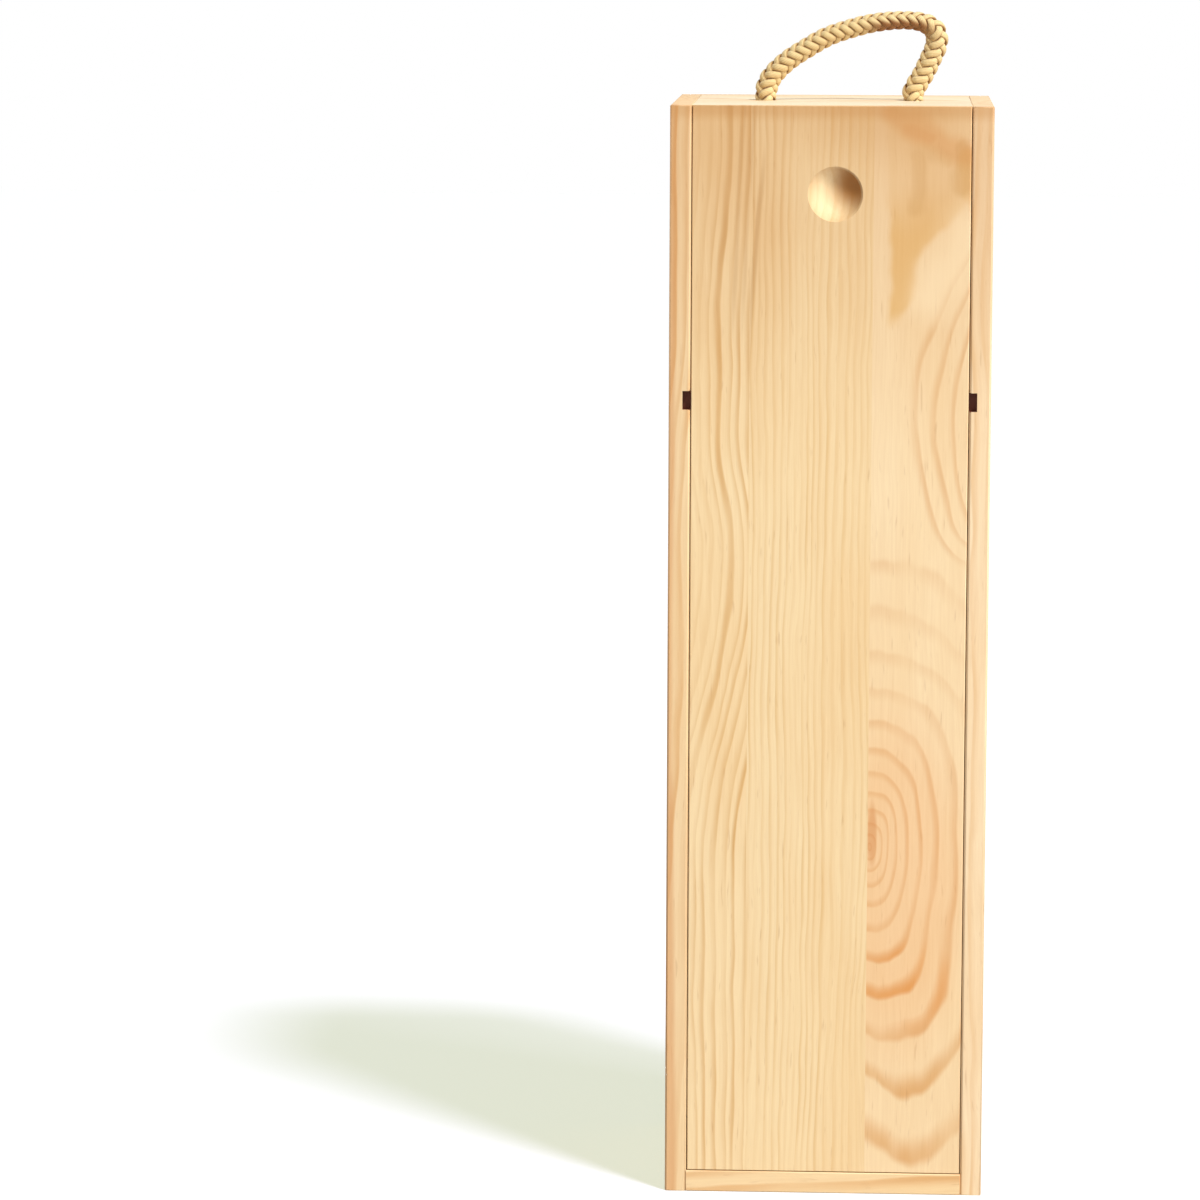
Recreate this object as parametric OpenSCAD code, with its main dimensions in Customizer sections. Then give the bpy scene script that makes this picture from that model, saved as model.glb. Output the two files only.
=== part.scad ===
// Wooden box for one bottle of wine, with a lid that slides up and out and a rope handle.
// Millimetres. The origin is on the floor under the middle of the box, with the lid facing -Y.

/* [Box] */
// Width over the side walls
box_w = 105; // [95:1:130]
// Depth from the front edges of the walls to the back panel
box_d = 100; // [92:1:130]
// Height over all boards, without the rope
box_h = 360; // [340:1:400]
// Thickness of the side walls
wall_t = 7; // [6:0.5:10]
// Thickness of the top and bottom boards
end_t = 7; // [6:0.5:10]
// Chamfer along the long outer edges
edge_chamfer = 0.6; // [0.3:0.1:1]

/* [Back panel] */
// Thickness of the back panel
back_t = 6; // [4:0.5:8]
// Width of the rebate that the back panel lies in
rebate_w = 4; // [3:0.5:4.5]
// Width of the left stave of the back panel
back_left_w = 26; // [20:1:35]
// Width of the middle stave of the back panel
back_middle_w = 40; // [30:1:44]

/* [Sliding lid] */
// Thickness of the lid
lid_t = 6; // [5:0.5:8]
// Thickness of the tongue along the lid's edges
tongue_t = 3; // [2.5:0.25:3.5]
// Depth of the grooves that the tongue runs in
groove_deep = 3; // [2:0.25:4]
// Gap between the face of the lid and the walls beside it
lid_gap = 0.3; // [0.2:0.1:1]
// Running clearance of the tongue in its groove
slide_gap = 0.2; // [0.1:0.05:0.4]
// How far the lid's face lies behind the front edges of the walls
lid_setback = 0.3; // [0:0.1:0.6]
// Width of the left stave of the lid, as far as it shows
lid_left_w = 19; // [15:1:25]
// Width of the middle stave of the lid
lid_middle_w = 40; // [30:1:45]

/* [Finger recess] */
// Diameter of the finger recess
recess_d = 18; // [14:0.5:24]
// Depth of the finger recess
recess_deep = 3.8; // [2:0.1:4]
// Distance from the top edge of the lid to the centre of the recess
recess_drop = 28.5; // [20:0.5:45]
// Offset of the recess to the right of the middle
recess_offset = 1.3; // [-3:0.1:3]

/* [Neck support] */
// Height of the middle of the neck support above the floor
support_z = 264; // [240:1:290]
// Thickness of the neck support
support_t = 6; // [5:0.5:8]
// Depth of the dados that hold the neck support
dado_deep = 2.5; // [2:0.25:3.5]
// Diameter of the notch that takes the neck of the bottle
notch_d = 34; // [30:1:40]
// Radius of the rounded mouth of the notch
mouth_r = 8; // [4:1:12]

/* [Rope handle] */
// Diameter of the rope
rope_d = 6; // [5:0.5:7]
// Distance between the two rope holes
rope_span = 49; // [40:1:55]
// Offset of the pair of rope holes to the right of the middle
rope_offset = 2; // [-3:0.5:3]
// Radial play of the rope in its holes
rope_play = 0.5; // [0.3:0.1:1]

/* [Brads] */
// Diameter of the brads
brad_d = 1.2; // [1:0.1:1.6]
// Length of the brads
brad_l = 18; // [14:1:22]
// Diameter of the heads
brad_head_d = 2; // [1.8:0.1:3]
// Thickness of the heads
brad_head_t = 0.7; // [0.5:0.1:1]
// How far the heads are sunk below the wood
brad_sink = 0.2; // [0.1:0.1:0.5]
// Distance of the side brads from the front and back edges of the walls
brad_inset = 24; // [18:1:32]
// Height of the lowest brad along the back panel, and depth of the highest below the top
brad_back_inset = 30; // [20:5:60]
// Distance of the brads in the top and bottom boards from the middle of the back panel
brad_back_x = 24; // [10:1:35]

/* [Hidden] */

round_fn = 64;
cut = 1;

// Planes and edges that the boards share
front_y = -box_d / 2;
back_y = box_d / 2;
inner_x = box_w / 2 - wall_t;
inner_back_y = back_y - back_t;
top_under_z = box_h - end_t;

// Lid in its grooves
lid_front_y = front_y + lid_setback;
lid_back_y = lid_front_y + lid_t;
lid_half_w = inner_x - lid_gap;
tongue_reach = lid_gap + groove_deep - 1.5 * slide_gap;
groove_y0 = lid_back_y - tongue_t - slide_gap;
groove_y1 = lid_back_y + slide_gap;
shoulder_z = end_t + lid_gap;
tongue_foot_z = end_t - groove_deep + 1.5 * slide_gap;
glue_left_x = -lid_half_w + lid_left_w;
glue_right_x = glue_left_x + lid_middle_w;

// Boards behind the lid
board_front_y = groove_y1 + 0.1;
seat_gap = 0.1;
back_half_w = inner_x + rebate_w - seat_gap;
back_glue_left_x = -back_half_w + back_left_w;
back_glue_right_x = back_glue_left_x + back_middle_w;

// Brads: heights and depths of the rows
brad_gap = 0.02;
brad_shank = brad_l - brad_head_t;
end_heights = [end_t / 2, box_h - end_t / 2];
side_heights = concat(end_heights, [support_z]);
back_rows = 4;
back_heights = [
  for (i = [0 : back_rows - 1])
    brad_back_inset + i * (box_h - 2 * brad_back_inset) / (back_rows - 1)
];
back_edge_x = inner_x + (rebate_w - seat_gap) / 2;

// Rope: hinge line of the loop, and its route above the top of the box
rope_r = rope_d / 2;
swing_gap = 0.3;
hinge_z = box_h + rope_r + swing_gap;
hole_left_x = rope_offset - rope_span / 2;
hole_right_x = rope_offset + rope_span / 2;
loop_route = [
  [-20.5, 8], [-15.5, 13], [-9.5, 17], [-2.5, 21], [4.5, 23.5], [12, 25.5], [19.5, 26.5],
  [26, 26.5], [30.5, 25.5], [33.5, 23], [34, 19], [32.5, 14.5], [30, 9]
];
rope_sides = 12;

// Stopper knot: two turns of a ring that winds one and a half times round itself on each
knot_ring_r = 1.2 * rope_d;
knot_wind_r = 0.55 * rope_d;
knot_start = 115;
knot_sweep = 648;
knot_steps = 36;
knot_drop = 2.6 * rope_d;
knot_shift = -0.1 * rope_d;
tail_l = 1.9 * rope_d;

// Vector helpers
function unit(v) = v / norm(v);
function flat(v, n) = v - n * (v * n);
function bend(a, b, c, d, s) =
  a * pow(1 - s, 3) + b * 3 * s * pow(1 - s, 2) + c * 3 * s * s * (1 - s) + d * pow(s, 3);

// Smooth curve through the points p, with n steps between neighbours
function spline_point(p, i, s) =
  let (a = p[max(i - 1, 0)], b = p[i], c = p[i + 1], d = p[min(i + 2, len(p) - 1)])
  bend(b, b + (c - a) / 6, c - (d - b) / 6, c, s);
function spline(p, n) =
  [for (i = [0 : len(p) - 2]) for (k = [0 : n - 1]) spline_point(p, i, k / n), p[len(p) - 1]];

// Directions along a path, and a side direction carried along it without twist
function headings(p) =
  [for (i = [0 : len(p) - 1]) unit(p[min(i + 1, len(p) - 1)] - p[max(i - 1, 0)])];
function carried(h, first) =
  [for (i = 0, u = unit(flat(first, h[0]));
        i < len(h);
        i = i + 1, u = unit(flat(u, h[min(i, len(h) - 1)]))) u];

// One closed tube of radii r along the path p
module tube(p, r, sides, first) {
  h = headings(p);
  u = carried(h, first);
  n = len(p);
  rings = [
    for (i = [0 : n - 1])
      for (k = [0 : sides - 1])
        let (a = 360 * k / sides)
          p[i] + r[i] * (cos(a) * u[i] + sin(a) * cross(h[i], u[i]))
  ];
  walls = [
    for (i = [0 : n - 2])
      for (k = [0 : sides - 1])
        let (a = i * sides + k, b = i * sides + (k + 1) % sides)
          each [[a, b, a + sides], [b, b + sides, a + sides]]
  ];
  start_cap = [for (k = [1 : sides - 2]) [0, k + 1, k]];
  end_cap = [for (k = [1 : sides - 2]) [0, k, k + 1] + (n - 1) * sides * [1, 1, 1]];
  polyhedron(points = rings, faces = concat(start_cap, walls, end_cap), convexity = 6);
}

// Flat board outline with its outer corners chamfered
module chamfered(x0, x1, y0, y1, c) {
  polygon([[x0 + c, y0], [x1 - c, y0], [x1, y0 + c], [x1, y1 - c],
           [x1 - c, y1], [x0 + c, y1], [x0, y1 - c], [x0, y0 + c]]);
}

// A brad that points along +Z, with the top of its head at the origin
module brad() {
  cylinder(h = brad_head_t, d = brad_head_d, $fn = 32);
  translate([0, 0, brad_head_t]) cylinder(h = brad_shank, d = brad_d, $fn = 32);
}

// The hole that a brad has made for itself, open towards its head
module brad_hole() {
  translate([0, 0, -brad_sink - cut])
    cylinder(h = brad_sink + cut + brad_head_t + brad_gap, d = brad_head_d + 2 * brad_gap, $fn = 32);
  cylinder(h = brad_l + brad_gap, d = brad_d + 2 * brad_gap, $fn = 32);
}

// Places children at each brad of one side wall: side is -1 on the left and 1 on the right
module at_side_brads(side) {
  for (z = side_heights)
    for (y = [front_y + brad_inset, back_y - brad_inset])
      translate([side * (box_w / 2 - brad_sink), y, z]) rotate([0, -side * 90, 0]) children();
}

// Places children at each brad of the back panel
module at_back_brads() {
  for (side = [-1, 1])
    for (z = back_heights)
      translate([side * back_edge_x, back_y - brad_sink, z]) rotate([90, 0, 0]) children();
  for (side = [-1, 1])
    for (z = end_heights)
      translate([side * brad_back_x, back_y - brad_sink, z]) rotate([90, 0, 0]) children();
}

// Right-hand wall: groove for the lid, rebate for the back panel and a through dado
module side_wall() {
  difference() {
    linear_extrude(box_h)
      difference() {
        chamfered(inner_x, box_w / 2, front_y, back_y, edge_chamfer);
        translate([inner_x - cut, groove_y0]) square([groove_deep + cut, groove_y1 - groove_y0]);
        translate([inner_x - cut, inner_back_y]) square([rebate_w + cut, back_t + cut]);
      }
    translate([inner_x - cut, front_y - cut, support_z - support_t / 2])
      cube([dado_deep + cut, box_d + 2 * cut, support_t + seat_gap]);
    at_side_brads(1) brad_hole();
    at_back_brads() brad_hole();
  }
}

module left_side() {
  color("#EBC28C") mirror([1, 0, 0]) side_wall();
}

module right_side() {
  color("#F3D0A0") side_wall();
}

// Board between the walls, with its grain from left to right
module end_board(y0) {
  translate([-inner_x, 0, 0])
    rotate([90, 0, 90])
      linear_extrude(2 * inner_x) chamfered(y0, inner_back_y, 0, end_t, edge_chamfer / 2);
}

module top_end() {
  color("#F6DCB0")
    difference() {
      translate([0, 0, top_under_z]) end_board(board_front_y);
      for (x = [hole_left_x, hole_right_x])
        translate([x, 0, top_under_z - cut])
          cylinder(h = end_t + 2 * cut, r = rope_r + rope_play, $fn = round_fn);
      for (side = [-1, 1]) at_side_brads(side) brad_hole();
      at_back_brads() brad_hole();
    }
}

module bottom_end() {
  color("#EDC896")
    difference() {
      end_board(front_y);
      translate([-inner_x - cut, groove_y0, end_t - groove_deep])
        cube([2 * (inner_x + cut), groove_y1 - groove_y0, groove_deep + cut]);
      for (side = [-1, 1]) at_side_brads(side) brad_hole();
      at_back_brads() brad_hole();
    }
}

// Notch for the neck, open to the front, with a rounded mouth
module notch_outline() {
  r = notch_d / 2;
  circle(d = notch_d, $fn = round_fn);
  translate([-r, board_front_y - cut]) square([notch_d, cut - board_front_y]);
  difference() {
    translate([-r - mouth_r, board_front_y - cut]) square([notch_d + 2 * mouth_r, mouth_r + cut]);
    for (side = [-1, 1])
      translate([side * (r + mouth_r), board_front_y + mouth_r]) circle(r = mouth_r, $fn = round_fn);
  }
}

module neck_support() {
  half_w = inner_x + dado_deep - seat_gap;
  color("#F0CFA0")
    difference() {
      translate([0, 0, support_z - support_t / 2])
        linear_extrude(support_t)
          difference() {
            translate([-half_w, board_front_y]) square([2 * half_w, inner_back_y - board_front_y]);
            notch_outline();
          }
      for (side = [-1, 1]) at_side_brads(side) brad_hole();
    }
}

// One stave of the back panel, between two glue lines or outer edges
module back_stave(x0, x1) {
  difference() {
    translate([x0, inner_back_y, 0]) cube([x1 - x0, back_t, box_h]);
    at_back_brads() brad_hole();
  }
}

module back_stave_left() {
  color("#E9C08C") back_stave(-back_half_w, back_glue_left_x);
}

module back_stave_middle() {
  color("#F2D4A6") back_stave(back_glue_left_x, back_glue_right_x);
}

module back_stave_right() {
  color("#EECB98") back_stave(back_glue_right_x, back_half_w);
}

// The whole lid: face, side tongues and foot tongue, with the finger recess
module lid_board() {
  sphere_r = (pow(recess_d / 2, 2) + pow(recess_deep, 2)) / (2 * recess_deep);
  reach = lid_half_w + tongue_reach;
  difference() {
    union() {
      translate([0, 0, shoulder_z])
        linear_extrude(box_h - shoulder_z)
          polygon([[-lid_half_w + edge_chamfer / 2, lid_front_y], [lid_half_w - edge_chamfer / 2, lid_front_y],
                   [lid_half_w, lid_front_y + edge_chamfer / 2], [lid_half_w, lid_back_y],
                   [-lid_half_w, lid_back_y], [-lid_half_w, lid_front_y + edge_chamfer / 2]]);
      translate([-reach, lid_back_y - tongue_t, tongue_foot_z])
        cube([2 * reach, tongue_t, box_h - tongue_foot_z]);
    }
    translate([recess_offset, lid_front_y + recess_deep - sphere_r, box_h - recess_drop])
      sphere(r = sphere_r, $fn = round_fn);
  }
}

// The part of the lid between x0 and x1
module lid_stave(x0, x1) {
  intersection() {
    lid_board();
    translate([x0, lid_front_y - cut, 0]) cube([x1 - x0, lid_t + 2 * cut, box_h + cut]);
  }
}

module lid_stave_left() {
  color("#E6BD86") lid_stave(-box_w / 2, glue_left_x);
}

module lid_stave_middle() {
  color("#F2D6A2") lid_stave(glue_left_x, glue_right_x);
}

module lid_stave_right() {
  color("#EFCB94") lid_stave(glue_right_x, box_w / 2);
}

// Loop of the handle: round ends on the hinge line, so it can swing over the box
loop_points = concat(
  [[hole_left_x, 0, hinge_z]],
  [for (q = loop_route) [q[0], 0, box_h + q[1]]],
  [[hole_right_x, 0, hinge_z]]
);

module rope_loop() {
  path = spline(loop_points, 2);
  h = headings(path);
  n = len(path);
  caps = [75, 50, 25];
  whole = concat(
    [for (a = caps) path[0] - h[0] * rope_r * sin(a)],
    path,
    [for (i = [2 : -1 : 0]) path[n - 1] + h[n - 1] * rope_r * sin(caps[i])]
  );
  radii = concat(
    [for (a = caps) rope_r * cos(a)],
    [for (q = path) rope_r],
    [for (i = [2 : -1 : 0]) rope_r * cos(caps[i])]
  );
  color("#EBD08C") tube(whole, radii, rope_sides, [0, 1, 0]);
}

// Centre line of a stopper knot under its hole, then its leg up through the hole
function knot_ring(a) =
  let (w = 1.5 * (a - knot_start), r = knot_ring_r + knot_wind_r * cos(w))
  [knot_shift + r * cos(a), -knot_wind_r * sin(w), r * sin(a) - knot_drop];
knot_turns = [for (i = [0 : knot_steps]) knot_ring(knot_start + knot_sweep * i / knot_steps)];
knot_in = unit(knot_turns[1] - knot_turns[0]);
knot_out = unit(knot_turns[knot_steps] - knot_turns[knot_steps - 1]);
leg_low = [0, 0, knot_turns[0][2] + 1.05 * rope_d];
tail_start = knot_turns[knot_steps];
tail_end = [tail_start[0] + tail_l, tail_start[1] + 0.6 * rope_d, -rope_r - swing_gap];
knot_path = concat(
  [[0, 0, end_t], [0, 0, end_t / 2], [0, 0, 0]],
  [for (i = [0 : 3])
    bend(leg_low, leg_low - [0, 0, 0.4 * rope_d], knot_turns[0] - 0.4 * rope_d * knot_in,
         knot_turns[0], i / 4)],
  knot_turns,
  [for (i = [1 : 4])
    bend(tail_start, tail_start + 0.6 * rope_d * knot_out, tail_end - [1.1 * rope_d, 0, 0],
         tail_end, i / 4)]
);

// Least distance between strands of the knot that aren't neighbours along it
knot_gap = min([
  for (i = [0 : len(knot_path) - 1])
    for (j = [i + 7 : 1 : len(knot_path) - 1])
      norm(knot_path[i] - knot_path[j]) - rope_d
]);
echo(knot_gap = knot_gap);

module rope_end(turn) {
  rotate([0, 0, turn])
    tube(knot_path, [for (q = knot_path) rope_r], rope_sides, [0, 1, 0]);
}

module rope_end_left() {
  color("#E5CB88") translate([hole_left_x, 0, top_under_z]) rope_end(-20);
}

module rope_end_right() {
  color("#E5CB88") translate([hole_right_x, 0, top_under_z]) rope_end(150);
}

module brads_left() {
  color("#B9B4A6") at_side_brads(-1) brad();
}

module brads_right() {
  color("#B9B4A6") at_side_brads(1) brad();
}

module brads_back() {
  color("#B9B4A6") at_back_brads() brad();
}

left_side();
right_side();
top_end();
bottom_end();
neck_support();
back_stave_left();
back_stave_middle();
back_stave_right();
lid_stave_left();
lid_stave_middle();
lid_stave_right();
rope_loop();
rope_end_left();
rope_end_right();
brads_left();
brads_right();
brads_back();
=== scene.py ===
import math

import bmesh
import bpy
from mathutils import Matrix, Vector


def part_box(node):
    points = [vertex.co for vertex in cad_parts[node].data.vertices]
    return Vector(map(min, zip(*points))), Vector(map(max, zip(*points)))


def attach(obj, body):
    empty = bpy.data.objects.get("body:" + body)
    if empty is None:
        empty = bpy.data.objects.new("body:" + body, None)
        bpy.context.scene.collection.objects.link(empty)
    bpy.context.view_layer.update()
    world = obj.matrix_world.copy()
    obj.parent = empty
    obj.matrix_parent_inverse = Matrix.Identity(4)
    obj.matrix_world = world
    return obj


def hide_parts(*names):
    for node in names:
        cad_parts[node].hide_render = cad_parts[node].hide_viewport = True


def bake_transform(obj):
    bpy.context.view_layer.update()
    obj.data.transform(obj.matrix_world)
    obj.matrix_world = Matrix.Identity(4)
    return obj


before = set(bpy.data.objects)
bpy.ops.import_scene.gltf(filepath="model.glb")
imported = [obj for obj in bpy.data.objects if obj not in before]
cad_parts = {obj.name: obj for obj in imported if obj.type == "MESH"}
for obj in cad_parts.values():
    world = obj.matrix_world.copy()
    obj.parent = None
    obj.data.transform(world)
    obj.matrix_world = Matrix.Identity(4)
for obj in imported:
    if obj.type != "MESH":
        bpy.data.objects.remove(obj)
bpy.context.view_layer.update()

# Camera
# The photograph looks slightly down on the box from in front, from almost two metres away, with
# the box to the right of the middle of the frame. These values fit the corners of the box there.
camera_data = bpy.data.cameras.new("camera")
camera_data.lens = 160.2
camera_data.sensor_width = 36
camera_data.clip_end = 20
camera = bpy.data.objects.new("camera", camera_data)
bpy.context.scene.collection.objects.link(camera)
bpy.context.scene.camera = camera
camera.matrix_world = (
    Matrix.Translation((0.0168, -1.7856, 0.4263))
    @ Matrix.Rotation(math.radians(3.018), 4, "Z")
    @ Matrix.Rotation(math.radians(90 - 7.482), 4, "X")
    @ Matrix.Rotation(math.radians(0.196), 4, "Z")
)

# Rope handle
# A braided cotton cord of eight strands, 6 mm thick. It passes down through two holes in the top
# board and is stopped under it by an overhand knot at each end. The cord is stiff, so its loop
# stands up and leans a little to the right.
MM = 0.001
ROPE_D = 6 * MM
BOX_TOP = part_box("top_end")[1][2]
TOP_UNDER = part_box("top_end")[0][2]
HOLE_LEFT = Vector((-22.5 * MM, 0, BOX_TOP))
HOLE_RIGHT = Vector((26.5 * MM, 0, BOX_TOP))
# The middle line of the loop from left to right, in mm across the box and above its top
LOOP_ROUTE = [
    (-22.5, -4.5), (-22.5, -0.5), (-22.5, 3.3), (-20.5, 8), (-15.5, 13), (-9.5, 17), (-2.5, 21),
    (4.5, 23.5), (12, 25.5), (19.5, 26.5), (26, 26.5), (30.5, 25.5), (33.5, 23), (34, 19),
    (32.3, 14.5), (29.7, 9), (26.5, 3.3), (26.5, -0.5), (26.5, -4.5),
]
# The loop's upright legs are wider from side to side by this share, growing from inside the holes
LEG_SPREAD = 0.24
LEG_FROM = -3 * MM
LEG_FULL = 3.5 * MM
# Each strand lies on a ring round the core, rises and dips from it as it crosses the others, and
# comes round once in the length of a lay. Its rises are flattened where it lies over two others.
LAY = 12.8 * MM
STRAND_SIDES = 12
STRAND_STEP = 0.36 * MM
STRAND_RING = 1.86 * MM
STRAND_RISE = 0.55 * MM
STRAND_FLATTENING = 1.3
STRAND_HALF_WIDTH = 1.16 * MM
STRAND_HALF_THICK = 0.66 * MM
CORE_R = 1.15 * MM
# The tail below a knot has opened at its end
SPLAY = 0.3
SPLAY_LENGTH = 5 * MM
# Stopper knot: a ring of almost two turns that winds one and a half times round itself on each
KNOT_START = math.radians(115)
KNOT_SWEEP = math.radians(648)
KNOT_STEPS = 36
KNOT_RING_R = 1.2 * ROPE_D
KNOT_WIND_R = 0.55 * ROPE_D
KNOT_DROP = 2.6 * ROPE_D
KNOT_SHIFT = -0.1 * ROPE_D
TAIL_Z = -3.3 * MM


def smooth_route(points, step, parts=24):
    """Points at an even step along the smooth curve through the given points."""
    dense = []
    for i in range(len(points) - 1):
        a, b, c, d = (points[min(max(i + k, 0), len(points) - 1)] for k in (-1, 0, 1, 2))
        for k in range(parts):
            s = k / parts
            dense.append(
                b
                + 0.5 * s * (c - a)
                + 0.5 * s**2 * (2 * a - 5 * b + 4 * c - d)
                + 0.5 * s**3 * (3 * b - a - 3 * c + d)
            )
    dense.append(points[-1].copy())
    total = sum((q - p).length for p, q in zip(dense, dense[1:]))
    count = max(2, round(total / step))
    even, walked, k = [dense[0]], 0.0, 0
    for i in range(1, count):
        target = total * i / count
        while walked + (dense[k + 1] - dense[k]).length < target:
            walked += (dense[k + 1] - dense[k]).length
            k += 1
        leg = dense[k + 1] - dense[k]
        even.append(dense[k] + leg * ((target - walked) / leg.length))
    even.append(dense[-1])
    return even


def wrap_strand(bm, uv, line, outward, half_width, half_thick, number, middles):
    """Rolls a flat grid into a closed strand along the line, with its flat side outward. The cord
    is spread there from its middle line, by a share of the distance in one direction."""
    last = len(line) - 1
    made = bmesh.ops.create_grid(bm, x_segments=last, y_segments=STRAND_SIDES, size=0.5)["verts"]
    length_mm = sum((q - p).length for p, q in zip(line, line[1:])) / MM
    for face in {face for vert in made for face in vert.link_faces}:
        for loop in face.loops:
            loop[uv].uv = ((loop.vert.co.x + 0.5) * length_mm, loop.vert.co.y + 0.5 + number)
    for vert in made:
        i = round((vert.co.x + 0.5) * last)
        turn = (vert.co.y + 0.5) * 2 * math.pi
        ahead = line[min(i + 1, last)] - line[max(i - 1, 0)]
        across = ahead.cross(outward[i]).normalized()
        lift = across.cross(ahead).normalized()
        spot = line[i] + across * math.cos(turn) * half_width + lift * math.sin(turn) * half_thick
        middle, sideways, share = middles[i]
        vert.co = spot + sideways * (spot - middle).dot(sideways) * share
    bmesh.ops.remove_doubles(bm, verts=made, dist=1e-7)


def finished(bm, name):
    """Puts the worked mesh into the scene as a piece of that name."""
    mesh = bpy.data.meshes.new(name)
    bm.to_mesh(mesh)
    bm.free()
    piece = bpy.data.objects.new(name, mesh)
    bpy.context.scene.collection.objects.link(piece)
    return piece


def braid(name, points, splayed=False):
    """Eight flat strands round a core, four each way, over two and under two. The cord is thinner
    where it bends over than in its upright legs, and narrows into its holes."""
    route = smooth_route(points, STRAND_STEP)
    last = len(route) - 1
    step = (route[1] - route[0]).length
    sides, normals, middles, side = [], [], [], Vector((0, 1, 0))
    for i in range(last + 1):
        heading = (route[min(i + 1, last)] - route[max(i - 1, 0)]).normalized()
        side = (side - heading * side.dot(heading)).normalized()
        sides.append(side)
        normals.append(heading.cross(side))
        clear = (route[i].z - BOX_TOP - LEG_FROM) / (LEG_FULL - LEG_FROM)
        share = LEG_SPREAD * abs(heading.z) * min(1, max(0, clear))
        middles.append((route[i], normals[i], share))
    bm = bmesh.new()
    uv = bm.loops.layers.uv.new("strand")
    for strand in range(8):
        way = 1 if strand < 4 else -1
        line, outward = [], []
        for i, point in enumerate(route):
            angle = (strand % 4) * math.pi / 2 - math.pi / 8 + way * 2 * math.pi * i * step / LAY
            weave = max(-1, min(1, STRAND_FLATTENING * math.cos(2 * angle)))
            reach = STRAND_RING + way * STRAND_RISE * weave
            if splayed:
                reach *= 1 + SPLAY * max(0, 1 - (last - i) * step / SPLAY_LENGTH) ** 2
            outward.append(sides[i] * math.cos(angle) + normals[i] * math.sin(angle))
            line.append(point + outward[i] * reach)
        wrap_strand(bm, uv, line, outward, STRAND_HALF_WIDTH, STRAND_HALF_THICK, strand, middles)
    wrap_strand(bm, uv, route, sides, CORE_R, CORE_R, 8, middles)
    ends = [edge for edge in bm.edges if edge.is_boundary]
    caps = bmesh.ops.holes_fill(bm, edges=ends, sides=STRAND_SIDES)["faces"]
    bmesh.ops.recalc_face_normals(bm, faces=bm.faces)
    for face in bm.faces:
        face.smooth = face not in caps
    return finished(bm, name), route


def knot_points(hole, turn):
    """Overhand knot hung under a hole: down out of it, round the knot's ring and out as a tail."""
    ring = []
    for i in range(KNOT_STEPS + 1):
        angle = KNOT_START + KNOT_SWEEP * i / KNOT_STEPS
        wind = 1.5 * (angle - KNOT_START)
        reach = KNOT_RING_R + KNOT_WIND_R * math.cos(wind)
        ring.append(
            Vector((
                reach * math.cos(angle) + KNOT_SHIFT,
                -KNOT_WIND_R * math.sin(wind),
                reach * math.sin(angle) - KNOT_DROP,
            ))
        )

    def bend(a, b, c, d, s):
        return a * (1 - s) ** 3 + b * 3 * s * (1 - s) ** 2 + c * 3 * s**2 * (1 - s) + d * s**3

    # The leg and the tail meet the ring in soft bends, measured in thicknesses of the rope
    heading_in = (ring[1] - ring[0]).normalized()
    heading_out = (ring[-1] - ring[-2]).normalized()
    leg_low = Vector((0, 0, ring[0].z + 1.05 * ROPE_D))
    leg_turn = leg_low - Vector((0, 0, 0.4 * ROPE_D))
    tail_end = Vector((ring[-1].x + 1.9 * ROPE_D, ring[-1].y + 0.6 * ROPE_D, TAIL_Z))
    tail_turn = tail_end - Vector((1.1 * ROPE_D, 0, 0))
    points = [Vector((0, 0, 2.5 * MM)), Vector((0, 0, 0))]
    points += [bend(leg_low, leg_turn, ring[0] - heading_in * 0.4 * ROPE_D, ring[0], i / 4)
               for i in range(4)]
    points += ring
    points += [bend(ring[-1], ring[-1] + heading_out * 0.6 * ROPE_D, tail_turn, tail_end, i / 4)
               for i in range(1, 5)]
    place = Matrix.Translation((hole.x, hole.y, TOP_UNDER)) @ Matrix.Rotation(turn, 4, "Z")
    return [place @ point for point in points]


def srgb(code):
    """An sRGB hex colour as linear red, green, blue and alpha."""
    parts = [int(code[i:i + 2], 16) / 255 for i in (1, 3, 5)]
    return tuple(p / 12.92 if p <= 0.04045 else ((p + 0.055) / 1.055) ** 2.4 for p in parts) + (1,)


def add(tree, kind, inputs=None, **settings):
    """Adds a shader node with its settings; each input gets a value or another node's output."""
    node = tree.nodes.new("ShaderNode" + kind)
    for key, value in settings.items():
        setattr(node, key, value)
    for key, value in (inputs or {}).items():
        if isinstance(value, bpy.types.NodeSocket):
            tree.links.new(value, node.inputs[key])
        else:
            node.inputs[key].default_value = value
    return node


def new_material(name):
    """A material with an empty node tree."""
    material = bpy.data.materials.new(name)
    material.use_nodes = True
    material.node_tree.nodes.clear()
    return material, material.node_tree


# Spun cotton: a matt cream yarn with a soft sheen. A strand is a flat bundle of yarns about
# 0.4 mm thick that run along it, so fine ribs show on its face, with painted shade at its gaps.
RIBS_ROUND_STRAND = 14.0
RIB_TURNS_PER_MM = 0.22
# Middle of the painted shade under the loop, in metres
SHADED_PLACE = (0.0225, 0, 0.3862)
cotton, tree = new_material("braided cotton cord")
strand_place = add(
    tree, "SeparateXYZ", {"Vector": add(tree, "UVMap", uv_map="strand").outputs["UV"]}
).outputs
slant = add(
    tree, "Math", {0: strand_place["X"], 1: RIB_TURNS_PER_MM}, operation="MULTIPLY"
).outputs[0]
slanted = add(
    tree, "Math", {0: strand_place["Y"], 1: RIBS_ROUND_STRAND, 2: slant},
    operation="MULTIPLY_ADD",
).outputs[0]
rib = add(tree, "Math", {0: slanted, 1: 0.5}, operation="PINGPONG").outputs[0]
rib = add(
    tree, "MapRange", {"Value": rib, "From Max": 0.42}, interpolation_type="SMOOTHSTEP"
).outputs[0]
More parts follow.
